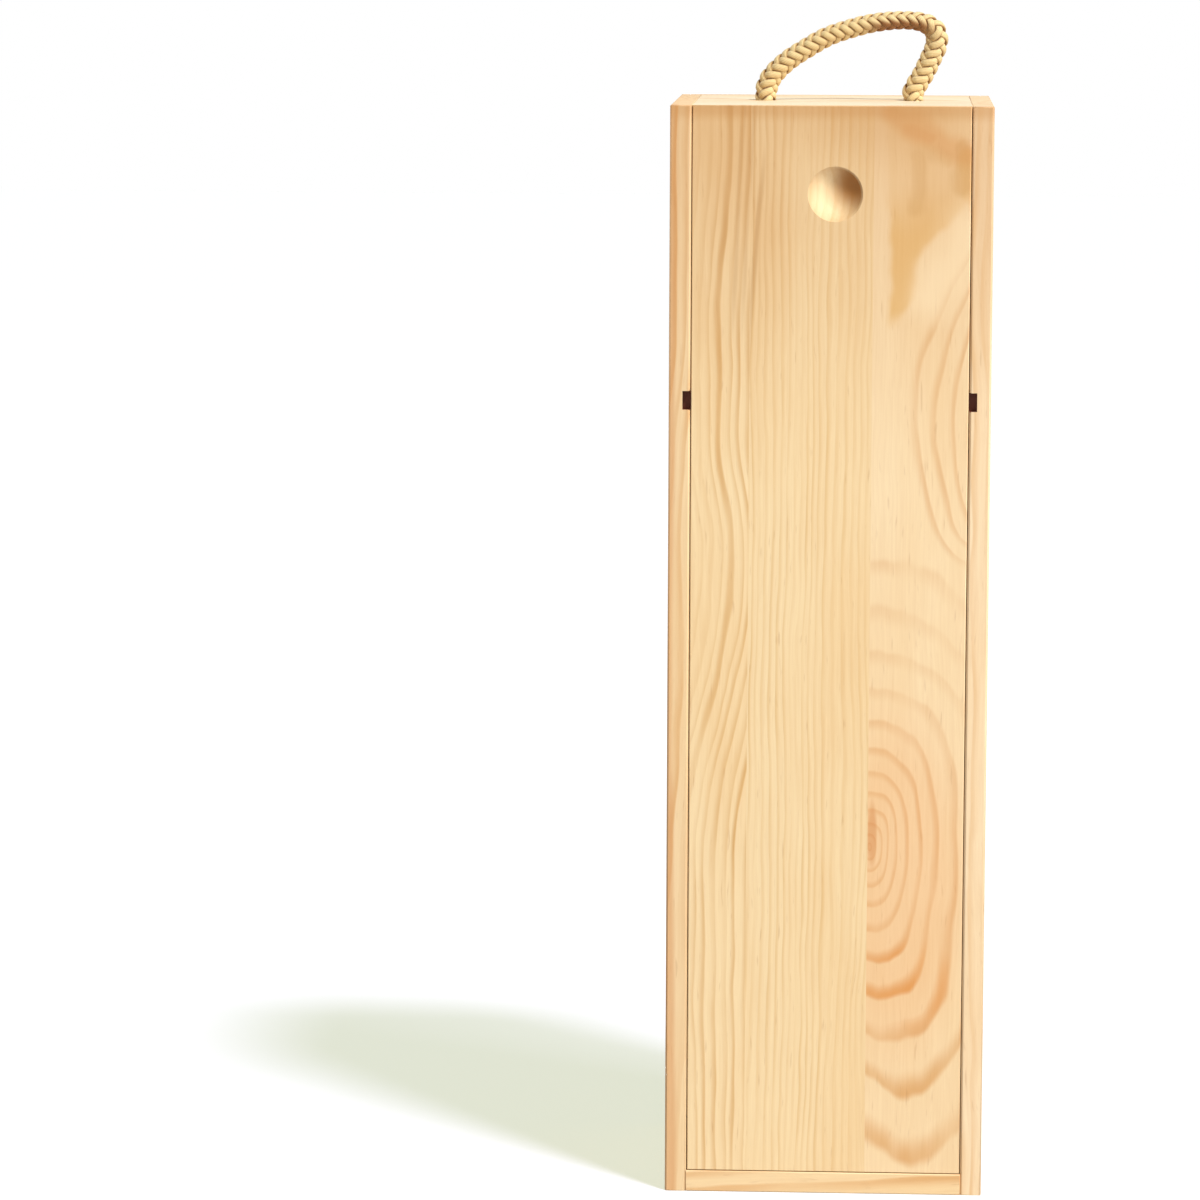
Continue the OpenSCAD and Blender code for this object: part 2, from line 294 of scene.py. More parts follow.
# The face of a strand is a quarter of the way round it
turn = add(tree, "Math", {0: strand_place["Y"]}, operation="FRACT").outputs[0]
off_face = add(tree, "Math", {0: turn, 1: 0.25}, operation="SUBTRACT").outputs[0]
off_face = add(tree, "Math", {0: off_face}, operation="ABSOLUTE").outputs[0]
# Painted shade on the sides of each strand, towards the gaps between strands
gap = add(
    tree, "MapRange", {"Value": off_face, "From Min": 0.10, "From Max": 0.27},
    interpolation_type="SMOOTHSTEP",
).outputs[0]
metres = add(tree, "TexCoord").outputs["Object"]
lint = add(tree, "TexNoise", {"Vector": metres, "Scale": 2200.0, "Detail": 3.0}).outputs["Fac"]
age = add(tree, "TexNoise", {"Vector": metres, "Scale": 70.0, "Detail": 2.0}).outputs["Fac"]
aged = add(
    tree, "MapRange", {"Value": age, "From Min": 0.35, "From Max": 0.7, "To Max": 0.6}
).outputs[0]
# Painted shade on the underside of the loop, near its highest point
flat = add(tree, "VectorMath", {0: metres, 1: (1, 0, 1)}, operation="MULTIPLY").outputs[0]
away = add(
    tree, "VectorMath", {0: flat, 1: SHADED_PLACE}, operation="DISTANCE"
).outputs["Value"]
shade_nearness = add(
    tree, "MapRange",
    {"Value": away, "From Min": 0.006, "From Max": 0.015, "To Min": 1.0, "To Max": 0.22},
    interpolation_type="SMOOTHSTEP",
).outputs[0]
facing = add(tree, "SeparateXYZ", {"Vector": add(tree, "TexCoord").outputs["Normal"]}).outputs
# Painted shade grows as the faces turn downward
under = add(
    tree, "MapRange",
    {"Value": facing["Z"], "From Min": 0.55, "From Max": -0.35, "To Max": 0.92},
    interpolation_type="SMOOTHSTEP",
).outputs[0]
painted_underside_shade = add(tree, "Math", {0: under, 1: shade_nearness}, operation="MULTIPLY").outputs[0]
yarn = srgb("#DDBC7C")
for share, shade in ((rib, "#F4E0AA"), (aged, "#E9CB8E"), (gap, "#A67436"), (painted_underside_shade, "#8A4E14")):
    yarn = add(tree, "Mix", {0: share, 6: yarn, 7: srgb(shade)}, data_type="RGBA").outputs[2]
yarn_height = add(tree, "Math", {0: lint, 1: 0.5, 2: rib}, operation="MULTIPLY_ADD").outputs[0]
yarn_bump = add(
    tree, "Bump", {"Height": yarn_height, "Strength": 0.5, "Distance": 0.00012}
).outputs["Normal"]
cotton_surface = add(
    tree, "BsdfPrincipled",
    {
        "Base Color": yarn, "Roughness": 0.72, "Normal": yarn_bump,
        "Sheen Weight": 0.25, "Sheen Roughness": 0.4,
    },
)
add(tree, "OutputMaterial", {"Surface": cotton_surface.outputs["BSDF"]})

knot_left, _ = braid("knot_left", knot_points(HOLE_LEFT, math.radians(-20)), splayed=True)
knot_right, _ = braid("knot_right", knot_points(HOLE_RIGHT, math.radians(150)), splayed=True)
rope_handle, loop_route = braid(
    "rope_handle", [Vector((x * MM, 0, BOX_TOP + z * MM)) for x, z in LOOP_ROUTE]
)
for piece in (rope_handle, knot_left, knot_right):
    piece.data.materials.append(cotton)
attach(knot_left, "box")
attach(knot_right, "box")
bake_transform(rope_handle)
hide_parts("rope_loop")
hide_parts("rope_end_left")
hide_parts("rope_end_right")


# Side walls
# Two boards of planed pine, 7 mm thick, with the grain running up the box. Each is grooved for the
# lid, rebated for the back panel and cut across by a dado, and its long edges are eased.
SUPPORT_MIDDLE = (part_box("neck_support")[0][2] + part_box("neck_support")[1][2]) / 2 / MM
DADO_MIDDLE = SUPPORT_MIDDLE + 0.05


def planed(node, arris=0.25, glued=()):
    """A copy of a board's solid with its long corners eased by some tenths of a millimetre, as
    sanding leaves them. A corner on a glued joint, named by its place across, stays sharp."""
    bm = bmesh.new()
    bm.from_mesh(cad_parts[node].data)
    bmesh.ops.remove_doubles(bm, verts=bm.verts, dist=1e-6)
    bmesh.ops.dissolve_limit(
        bm, angle_limit=math.radians(0.5), verts=bm.verts, edges=bm.edges, delimit={"NORMAL"}
    )
    # The square corners first, then the blunter ones beside a chamfer, which need less
    for low, high, width in ((70, 110, arris), (35, 55, 0.4 * arris)):
        corners = []
        for edge in bm.edges:
            if len(edge.link_faces) != 2 or not edge.is_convex or edge.calc_length() < 5 * MM:
                continue
            if not low < math.degrees(edge.calc_face_angle()) < high:
                continue
            if any(all(abs(v.co.x - x * MM) < 0.01 * MM for v in edge.verts) for x in glued):
                continue
            corners.append(edge)
        bmesh.ops.bevel(
            bm, geom=corners, offset=width * MM, offset_type="OFFSET", segments=3, profile=0.5,
            affect="EDGES", clamp_overlap=True, material=-1,
        )
    for face in bm.faces:
        face.smooth = max(abs(c) for c in face.normal) < 0.999
    piece = finished(bm, node + "_planed")
    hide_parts(node)
    return piece


def streaks(tree, spot, across, along, seed, detail=1.0, roughness=0.5):
    """Noise drawn out along the grain, with so many swells to the mm across and along it."""
    drawn = add(
        tree, "VectorMath", {0: spot, 1: (across, across, along)}, operation="MULTIPLY"
    ).outputs[0]
    return add(
        tree, "TexNoise",
        {"Vector": drawn, "W": seed, "Scale": 1.0, "Detail": detail, "Roughness": roughness},
        noise_dimensions="4D",
    ).outputs


def pine(name, early, late, pith, lean, rings, seed, strength=1.0, faintest=0.35, width=0.55,
         wave_mm=5.0, marks=()):
    """Planed, unfinished pine: pale spring wood with golden summer-wood lines where the log's
    yearly rings meet the face, fine fibre streaks, and a dull surface that shows little gloss.
    Pith and lean place the middle of the log, in mm and degrees. Rings is their width in mm, or
    the figure of a bent log. Marks are laid over the wood in their order."""
    material, tree = new_material(name)
    lean = [math.radians(a) for a in lean]
    metres = add(tree, "TexCoord").outputs["Object"]
    place = add(tree, "VectorMath", {0: metres, "Scale": 1000.0}, operation="SCALE").outputs[0]
    log = add(
        tree, "Mapping", {"Vector": place, "Location": pith, "Rotation": lean},
        vector_type="TEXTURE",
    ).outputs[0]

    # The trunk's slow bends, about 30 mm across and 120 mm along the grain, and finer wobbles
    bent = log
    for across, along, noise_seed, swing in (
        (1 / 30, 1 / 120, seed, 2 * wave_mm), (1 / 7, 1 / 26, seed + 3.7, 2.4),
    ):
        sway = streaks(tree, log, across, along, noise_seed)["Color"]
        sway = add(
            tree, "VectorMath", {0: sway, 1: (0.5, 0.5, 0.5)}, operation="SUBTRACT"
        ).outputs[0]
        bent = add(
            tree, "VectorMath", {0: sway, 1: (swing, swing, swing), 2: bent},
            operation="MULTIPLY_ADD",
        ).outputs[0]

    # Yearly rings: distance from the middle of the log, with good and poor years
    if callable(rings):
        ring, tone = rings(tree, bent)
    else:
        flat = add(tree, "VectorMath", {0: bent, 1: (1, 1, 0)}, operation="MULTIPLY").outputs[0]
        radius = add(tree, "VectorMath", {0: flat}, operation="LENGTH").outputs["Value"]
        years = add(
            tree, "Math", {0: radius, 1: 1 / 16, 2: seed}, operation="MULTIPLY_ADD"
        ).outputs[0]
        years = add(
            tree, "TexNoise", {"W": years, "Scale": 1.0, "Detail": 0.0}, noise_dimensions="1D"
        ).outputs["Fac"]
        ring = add(tree, "Math", {0: radius, 1: 1 / rings}, operation="MULTIPLY").outputs[0]
        ring = add(
            tree, "Math", {0: years, 1: 2.2, 2: ring}, operation="MULTIPLY_ADD"
        ).outputs[0]
        number = add(tree, "Math", {0: ring}, operation="FLOOR").outputs[0]
        number = add(tree, "Math", {0: number, 1: seed * 7.31}, operation="ADD").outputs[0]
        tone = add(
            tree, "TexWhiteNoise", {"W": number}, noise_dimensions="1D"
        ).outputs["Value"]

    # Summer wood: it darkens slowly through the ring, ends sharply, and varies along and between
    # the rings
    darkest = 0.85
    phase = add(tree, "Math", {0: ring}, operation="FRACT").outputs[0]
    rise = add(
        tree, "MapRange", {"Value": phase, "From Min": darkest - width, "From Max": darkest},
        interpolation_type="SMOOTHSTEP",
    ).outputs[0]
    drop = add(
        tree, "MapRange",
        {"Value": phase, "From Min": darkest, "From Max": 1.0, "To Min": 1.0, "To Max": 0.0},
        interpolation_type="SMOOTHSTEP",
    ).outputs[0]
    patch = streaks(tree, log, 1 / 9, 1 / 45, seed + 11.3)["Fac"]
    patch = add(
        tree, "MapRange", {"Value": patch, "From Min": 0.3, "From Max": 0.7, "To Min": 0.35}
    ).outputs[0]
    tone = add(
        tree, "MapRange", {"Value": tone, "To Min": faintest * strength, "To Max": strength}
    ).outputs[0]
    summer = rise
    for share in (drop, patch, tone):
        summer = add(tree, "Math", {0: summer, 1: share}, operation="MULTIPLY").outputs[0]

    # Fibres about 0.7 mm apart, coarser than the real ones so that they show, and resin flecks
    fibre = streaks(tree, bent, 1.5, 0.035, seed + 1.3, detail=3.0, roughness=0.6)["Fac"]
    fibres = add(
        tree, "MapRange", {"Value": fibre, "From Min": 0.30, "From Max": 0.70, "To Max": 0.16}
    ).outputs[0]
    flecks = streaks(tree, bent, 1.1, 0.11, seed + 5.9)["Fac"]
    flecks = add(
        tree, "MapRange", {"Value": flecks, "From Min": 0.66, "From Max": 0.78}
    ).outputs[0]
    flecks = add(tree, "Math", {0: flecks, 1: 0.22}, operation="MULTIPLY").outputs[0]
    cloud = streaks(tree, log, 1 / 22, 1 / 75, seed + 8.1, detail=2.0)["Fac"]
    clouds = add(
        tree, "MapRange", {"Value": cloud, "From Min": 0.38, "From Max": 0.72, "To Max": 0.30}
    ).outputs[0]

    # Sawn ends drink in more light than the planed faces, and look a little darker
    facing = add(
        tree, "VectorRotate",
        {"Vector": add(tree, "TexCoord").outputs["Normal"], "Rotation": lean},
        rotation_type="EULER_XYZ", invert=True,
    ).outputs[0]
    sawn = add(tree, "SeparateXYZ", {"Vector": facing}).outputs["Z"]
    sawn = add(tree, "Math", {0: sawn}, operation="ABSOLUTE").outputs[0]
    sawn = add(tree, "MapRange", {"Value": sawn, "From Min": 0.80, "From Max": 0.95}).outputs[0]
    sawn = add(tree, "Math", {0: sawn, 1: 0.15}, operation="MULTIPLY").outputs[0]

    colour = srgb(early)
    layers = [
        (summer, late), (clouds, "#E8B978"), (fibres, "#C98F4E"), (flecks, "#A8652C"),
        (sawn, "#D9AC74"),
    ]
    for share, shade in layers + [mark(tree, place, summer, cloud) for mark in marks]:
        colour = add(
            tree, "Mix", {0: share, 6: colour, 7: srgb(shade)}, data_type="RGBA"
        ).outputs[2]
    roughness = add(
        tree, "MapRange", {"Value": summer, "To Min": 0.62, "To Max": 0.50}
    ).outputs[0]
    height = add(tree, "Math", {0: fibre, 1: 0.8, 2: summer}, operation="MULTIPLY_ADD").outputs[0]
    bump = add(
        tree, "Bump", {"Height": height, "Strength": 0.35, "Distance": 0.00008}
    ).outputs["Normal"]
    surface = add(
        tree, "BsdfPrincipled", {"Base Color": colour, "Roughness": roughness, "Normal": bump}
    )
    add(tree, "OutputMaterial", {"Surface": surface.outputs["BSDF"]})
    return material


# A mark gives its share at each place, in mm in the frame of the box, and its shade. It may follow
# the summer wood, or the slow clouds in the wood.
def dado_painted_shade(tree, place, summer, cloud):
    """Painted shade on the floor and sides of the dado, near the front, where it shows as a notch.
    """
    axes = add(tree, "SeparateXYZ", {"Vector": place}).outputs
    side = add(tree, "Math", {0: axes["X"]}, operation="ABSOLUTE").outputs[0]
    # Where the dado lies in the wall and half its depth and height, with a little room
    dado_side, half_deep, half_high = 47.1, 1.55, 3.2
    shade_front, shade_back = -49.9, -38.0
    mask = add(tree, "Math", {0: side, 1: dado_side, 2: half_deep}, operation="COMPARE").outputs[0]
    for part in (
        add(tree, "Math", {0: axes["Z"], 1: DADO_MIDDLE, 2: half_high}, operation="COMPARE"),
        add(tree, "Math", {0: axes["Y"], 1: shade_front}, operation="GREATER_THAN"),
        add(tree, "Math", {0: axes["Y"], 1: shade_back}, operation="LESS_THAN"),
    ):
        mask = add(tree, "Math", {0: mask, 1: part.outputs[0]}, operation="MULTIPLY").outputs[0]
    return mask, "#6A2208"


def on_front(tree, place):
    """One on the front faces of the box, fading to none 2 mm behind them."""
    depth = add(tree, "SeparateXYZ", {"Vector": place}).outputs["Y"]
    return add(tree, "MapRange", {"Value": depth, "From Min": -47.0, "From Max": -49.3}).outputs[0]


def painted_top_shade(tree, place, summer, cloud):
    """Painted shade on the front, darker towards the top and in a line along its top edge."""
    height = add(tree, "SeparateXYZ", {"Vector": place}).outputs["Z"]
    upper = add(
        tree, "MapRange",
        {"Value": height, "From Min": 230.0, "From Max": 366.0, "To Max": 0.5},
        interpolation_type="SMOOTHSTEP",
    ).outputs[0]
    uneven = add(
        tree, "MapRange", {"Value": cloud, "From Min": 0.3, "From Max": 0.7, "To Min": 0.7}
    ).outputs[0]
    upper = add(tree, "Math", {0: upper, 1: uneven}, operation="MULTIPLY").outputs[0]
    # Painted shade in a dark line along the top edge
    rim = add(
        tree, "MapRange",
        {"Value": height, "From Min": 354.0, "From Max": 358.5, "To Max": 0.26},
        interpolation_type="SMOOTHSTEP",
    ).outputs[0]
    upper = add(tree, "Math", {0: upper, 1: rim}, operation="ADD").outputs[0]
    front = on_front(tree, place)
    return add(tree, "Math", {0: upper, 1: front}, operation="MULTIPLY").outputs[0], "#C48A4A"


def orange_edge(tree, place, summer, cloud):
    """Heartwood that was left along the outer front corner of the left wall, wider low down."""
    axes = add(tree, "SeparateXYZ", {"Vector": place}).outputs
    across = add(
        tree, "Math", {0: cloud, 1: 3.0, 2: axes["X"]}, operation="MULTIPLY_ADD"
    ).outputs[0]
    wider = add(
        tree, "MapRange",
        {"Value": axes["Z"], "From Min": 120.0, "From Max": 20.0, "To Max": -1.6},
    ).outputs[0]
    across = add(tree, "Math", {0: across, 1: wider}, operation="ADD").outputs[0]
    edge = add(
        tree, "MapRange", {"Value": across, "From Min": -48.2, "From Max": -50.2, "To Max": 0.5},
        interpolation_type="SMOOTHSTEP",
    ).outputs[0]
    behind = add(
        tree, "Math", {0: cloud, 1: -16.0, 2: axes["Y"]}, operation="MULTIPLY_ADD"
    ).outputs[0]
    front = add(
        tree, "MapRange",
        {"Value": behind, "From Min": -54.0, "From Max": -40.0, "To Min": 1.0, "To Max": 0.15},
        interpolation_type="SMOOTHSTEP",
    ).outputs[0]
    return add(tree, "Math", {0: edge, 1: front}, operation="MULTIPLY").outputs[0], "#D08C4C"


left_side = planed("left_side", arris=0.35)
right_side = planed("right_side", arris=0.35)
left_side.data.materials.append(
    pine("planed pine, left wall", "#F2D4A5", "#D49A58", (-118, 12, 0), (0.6, 1.2, 0), 3.4, 2.0,
         strength=0.8, marks=(orange_edge, painted_top_shade, dado_painted_shade))
)
right_side.data.materials.append(
    pine("planed pine, right wall", "#F9DFB7", "#E2B47C", (96, -18, 0), (-0.8, -0.7, 0), 3.9, 5.0,
         strength=0.8, marks=(painted_top_shade, dado_painted_shade))
)
for piece in (left_side, right_side):
    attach(piece, "box")


# Top and bottom boards
# Pine boards butted between the walls and nailed, with the grain from left to right. The top has
# two drilled holes for the rope, and the bottom has a groove for the foot of the lid.
top_end = planed("top_end", arris=0.15)
bottom_end = planed("bottom_end")
top_end.data.materials.append(
    pine("planed pine, top board", "#F7E8C8", "#E6BE88", (0, 8, 300), (0, 91.5, 0.8), 3.2, 9.0)
)
bottom_end.data.materials.append(
    pine("planed pine, bottom board", "#F5D8A8", "#D9A060", (0, -14, -46), (0, 88.6, 0), 3.0, 12.0)
)
for piece in (top_end, bottom_end):
    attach(piece, "box")


# Neck support
# A pine board across the inside, sawn out for the neck of the bottle. It is pushed into the dados
# from behind, and held by a pair of brads through each wall.
neck_support = planed("neck_support")
neck_support.data.materials.append(
    pine("planed pine, neck support", "#F6DAAA", "#DCA566", (0, 20, 318), (0, 89, 1), 3.6, 15.0)
)
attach(neck_support, "box")


# Back panel
# Three staves of pine glued edge to edge, laid in the rebates and nailed. The glue lines are tight
# and show only because the rings don't meet across them.
BACK_GLUE_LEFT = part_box("back_stave_left")[1][0] / MM
BACK_GLUE_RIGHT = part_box("back_stave_right")[0][0] / MM
back_left = planed("back_stave_left", glued=(BACK_GLUE_LEFT,))
back_middle = planed("back_stave_middle", glued=(BACK_GLUE_LEFT, BACK_GLUE_RIGHT))
back_right = planed("back_stave_right", glued=(BACK_GLUE_RIGHT,))
back_left.data.materials.append(
    pine("planed pine, back left", "#EFCB94", "#CF9452", (-40, 92, 0), (-0.9, 0.4, 0), 2.9, 21.0)
)
back_middle.data.materials.append(
    pine("planed pine, back middle", "#F6DBAA", "#DAA362", (4, 70, 0), (1.4, -0.3, 0), 3.5, 24.0)
)
back_right.data.materials.append(
    pine("planed pine, back right", "#F1D09C", "#D69C5A", (70, 20, 0), (0.5, 1.0, 0), 3.1, 28.0)
)
for piece in (back_left, back_middle, back_right):
    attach(piece, "box")


# Sliding lid
# Three staves of pine glued edge to edge, then planed, tongued on both sides and along the foot,
# and given a round recess for a fingertip. Each stave comes from another part of the log: the left
# one shows strong wavy lines, the middle one fine straight ones, the right one a large oval figure.
LID_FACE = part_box("lid_stave_middle")[0][1] / MM
LID_GLUE_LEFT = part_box("lid_stave_left")[1][0] / MM
LID_GLUE_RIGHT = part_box("lid_stave_right")[0][0] / MM
RECESS_MIDDLE = (1.3, LID_FACE, 331.5)
RECESS_REACH = 9.2


def wavy_figure(tree, bent):
    """Ring number and tone where the trunk leaned over and stood up again: the lines swing to the
    right in the middle of the lid, then run steeply down to the left edge."""
    axes = add(tree, "SeparateXYZ", {"Vector": bent}).outputs
    across = axes["X"]
    for start, end, swing in ((345, 290, 3.1), (255, 217, -4.1), (212, 112, 14.0)):
        bow = add(
            tree, "MapRange",
            {"Value": axes["Z"], "From Min": start, "From Max": end, "To Max": swing},
            interpolation_type="SMOOTHSTEP",
        ).outputs[0]
        across = add(tree, "Math", {0: across, 1: bow}, operation="ADD").outputs[0]
    ring = add(
        tree, "Math", {0: axes["Y"], 1: 0.25, 2: across}, operation="MULTIPLY_ADD"
    ).outputs[0]
    years = add(tree, "Math", {0: ring, 1: 1 / 5}, operation="MULTIPLY").outputs[0]
    years = add(
        tree, "TexNoise", {"W": years, "Scale": 1.0, "Detail": 0.0}, noise_dimensions="1D"
    ).outputs["Fac"]
    ring = add(tree, "Math", {0: ring, 1: 1 / 3.3, 2: years}, operation="MULTIPLY_ADD").outputs[0]
    tone = add(
        tree, "MapRange",
        {"Value": across, "From Min": -37.5, "From Max": -33.5, "To Min": 0.3, "To Max": 1.0},
        interpolation_type="SMOOTHSTEP",
    ).outputs[0]
    good = add(
        tree, "MapRange", {"Value": years, "From Min": 0.25, "From Max": 0.65, "To Min": 0.35}
    ).outputs[0]
    return ring, add(tree, "Math", {0: good, 1: tone}, operation="MULTIPLY").outputs[0]


def oval_figure(tree, bent):
    """Ring number and tone where the face just skims bulging rings: ovals round a point low on the
    lid, drawn out downwards, and arcs open to the right where the next bulge begins above."""
    axes = add(tree, "SeparateXYZ", {"Vector": bent}).outputs
    # Distance from the middle of the ovals, which drifts to the right below it. They are drawn out
    # downwards and, less and less, upwards, are a little square and end in blunt points.
    middle, squareness, point_width = 117.0, 2.4, 14.0
    drawn_down, drawn_up, closing_height = 2.4, 2.3, 690.0
    drift = add(
        tree, "MapRange",
        {"Value": axes["Z"], "From Min": 95.0, "From Max": 15.0, "To Min": 15.3, "To Max": 29.3},
        interpolation_type="SMOOTHSTEP",
    ).outputs[0]
    right = add(tree, "Math", {0: axes["X"], 1: drift}, operation="SUBTRACT").outputs[0]
    left = add(tree, "Math", {0: drift, 1: axes["X"]}, operation="SUBTRACT").outputs[0]
    aside = add(tree, "Math", {0: right, 1: left}, operation="MAXIMUM").outputs[0]
    blunt = add(
        tree, "Math", {0: right, 1: left, 2: point_width}, operation="SMOOTH_MAX"
    ).outputs[0]
    rise = add(tree, "Math", {0: axes["Z"], 1: middle}, operation="SUBTRACT").outputs[0]
    over = add(tree, "Math", {0: rise, 1: 0.0}, operation="MAXIMUM").outputs[0]
    under = add(tree, "Math", {0: rise, 1: 0.0}, operation="MINIMUM").outputs[0]
    under = add(tree, "Math", {0: under, 1: -1 / drawn_down}, operation="MULTIPLY").outputs[0]
    slope = add(
        tree, "Math", {0: over, 1: 1 / closing_height, 2: 1 / drawn_up}, operation="MULTIPLY_ADD"
    ).outputs[0]
    upright = add(tree, "Math", {0: over, 1: slope, 2: under}, operation="MULTIPLY_ADD").outputs[0]
    aside_power = add(tree, "Math", {0: aside, 1: squareness}, operation="POWER").outputs[0]
    reach = add(tree, "Math", {0: upright, 1: squareness}, operation="POWER").outputs[0]
    reach = add(tree, "Math", {0: aside_power, 1: reach}, operation="ADD").outputs[0]
    reach = add(tree, "Math", {0: reach, 1: 1 / squareness}, operation="POWER").outputs[0]
    pointed = add(
        tree, "MapRange",
        {"Value": axes["Z"], "From Min": 70.0, "From Max": 35.0, "To Max": 0.20},
        interpolation_type="SMOOTHSTEP",
    ).outputs[0]
    leaning = add(
        tree, "MapRange",
        {"Value": axes["Z"], "From Min": 160.0, "From Max": 205.0, "To Max": 0.24},
        interpolation_type="SMOOTHSTEP",
    ).outputs[0]
    pointed = add(tree, "Math", {0: pointed, 1: leaning}, operation="ADD").outputs[0]
    reach = add(tree, "Math", {0: blunt, 1: pointed, 2: reach}, operation="MULTIPLY_ADD").outputs[0]
    # The rings lie wider apart the further out they are
    widening, closeness, first_ring = 0.2, 4.6, 1.3
    grown = add(tree, "Math", {0: reach, 1: widening, 2: 1.0}, operation="MULTIPLY_ADD").outputs[0]
    grown = add(tree, "Math", {0: grown, 1: math.e}, operation="LOGARITHM").outputs[0]
    ovals = add(
        tree, "Math", {0: grown, 1: closeness, 2: first_ring}, operation="MULTIPLY_ADD"
    ).outputs[0]

    # Higher up the arcs of the next bulge begin, bowed most to the left at their own level. Their
    # numbers go on from those of the ovals.
    arcs_level, arcs_apart, arcs_bow = 257.0, 5.8, 0.0055
    middle_number, least_number = 8.88, 13.1
    off = add(tree, "Math", {0: axes["Z"], 1: arcs_level}, operation="SUBTRACT").outputs[0]
    bulge = add(tree, "Math", {0: off, 1: 2.0}, operation="POWER").outputs[0]
    arcs = add(
        tree, "Math", {0: bulge, 1: -arcs_bow, 2: axes["X"]}, operation="MULTIPLY_ADD"
    ).outputs[0]
    arcs = add(
        tree, "Math", {0: arcs, 1: 1 / arcs_apart, 2: middle_number}, operation="MULTIPLY_ADD"
    ).outputs[0]
    arcs = add(
        tree, "Math", {0: arcs, 1: least_number, 2: 1.0}, operation="SMOOTH_MAX"
    ).outputs[0]
    high = add(
        tree, "MapRange", {"Value": axes["Z"], "From Min": 203.0, "From Max": 224.0},
        interpolation_type="SMOOTHSTEP",
    ).outputs[0]
    ring = add(tree, "Mix", {0: high, 2: ovals, 3: arcs}, data_type="FLOAT").outputs[0]
    deep = add(tree, "Math", {0: axes["Y"], 1: -LID_FACE}, operation="ADD").outputs[0]
    ring = add(tree, "Math", {0: deep, 1: 0.12, 2: ring}, operation="MULTIPLY_ADD").outputs[0]

    # Rings are strong low down, most of all the eighth and ninth, and faint below the arcs
    near = add(tree, "Math", {0: ring, 1: 8.6, 2: 1.0}, operation="COMPARE").outputs[0]
    low = add(
        tree, "MapRange",
        {"Value": axes["Z"], "From Min": 120.0, "From Max": 175.0, "To Min": 1.0, "To Max": 0.36},
        interpolation_type="SMOOTHSTEP",
    ).outputs[0]
    low = add(tree, "Math", {0: high, 1: 0.45, 2: low}, operation="MULTIPLY_ADD").outputs[0]
    tone = add(tree, "Math", {0: near, 1: 0.15, 2: 0.85}, operation="MULTIPLY_ADD").outputs[0]
    return ring, add(tree, "Math", {0: tone, 1: low}, operation="MULTIPLY").outputs[0]


def spread(tree, place, middle, across):
    """How far a point lies from the middle of a mark, in half widths along each axis."""
    scale = [1 / half for half in across]
    off = add(tree, "VectorMath", {0: place, 1: middle}, operation="SUBTRACT").outputs[0]
    off = add(tree, "VectorMath", {0: off, 1: scale}, operation="MULTIPLY").outputs[0]
    return add(tree, "VectorMath", {0: off}, operation="LENGTH").outputs["Value"]


def blot(tree, place, middle, across, inner, outer, depth):
    """Strength of a mark round a point, fading out between two shares of its half widths."""
    return add(
        tree, "MapRange",
        {
            "Value": spread(tree, place, middle, across),
            "From Min": inner, "From Max": outer, "To Min": depth, "To Max": 0.0,
        },
        interpolation_type="SMOOTHSTEP",
    ).outputs[0]


def stroke(tree, place, start, end, inner, outer, depth):
    """Strength of a mark along a line on the face, fading out between two distances from it."""
    along = Vector(end) - Vector(start)
    off = add(tree, "VectorMath", {0: place, 1: start}, operation="SUBTRACT").outputs[0]
    part = add(
        tree, "VectorMath", {0: off, 1: along / along.length_squared}, operation="DOT_PRODUCT"
    ).outputs["Value"]
    part = add(tree, "Math", {0: part, 1: 0.0}, operation="ADD", use_clamp=True).outputs[0]
    nearest = add(tree, "VectorMath", {0: along, "Scale": part}, operation="SCALE").outputs[0]
    gap = add(tree, "VectorMath", {0: off, 1: nearest}, operation="DISTANCE").outputs["Value"]
    return add(
        tree, "MapRange",
        {"Value": gap, "From Min": inner, "From Max": outer, "To Min": depth, "To Max": 0.0},
        interpolation_type="SMOOTHSTEP",
    ).outputs[0]


def shaken(tree, place):
    """Places on the face, pushed about by up to 2 mm so that the edge of a stain isn't regular."""
    push = add(
        tree, "VectorMath", {0: place, 1: (1 / 9, 1 / 9, 1 / 16)}, operation="MULTIPLY"
    ).outputs[0]
    push = add(tree, "TexNoise", {"Vector": push, "Scale": 1.0, "Detail": 1.5}).outputs["Color"]
    push = add(tree, "VectorMath", {0: push, 1: (0.5, 0.5, 0.5)}, operation="SUBTRACT").outputs[0]
    moved = add(
        tree, "VectorMath", {0: push, 1: (6, 0, 6), 2: place}, operation="MULTIPLY_ADD"
    ).outputs[0]
    return add(tree, "VectorMath", {0: moved, 1: (1, 0, 1)}, operation="MULTIPLY").outputs[0]


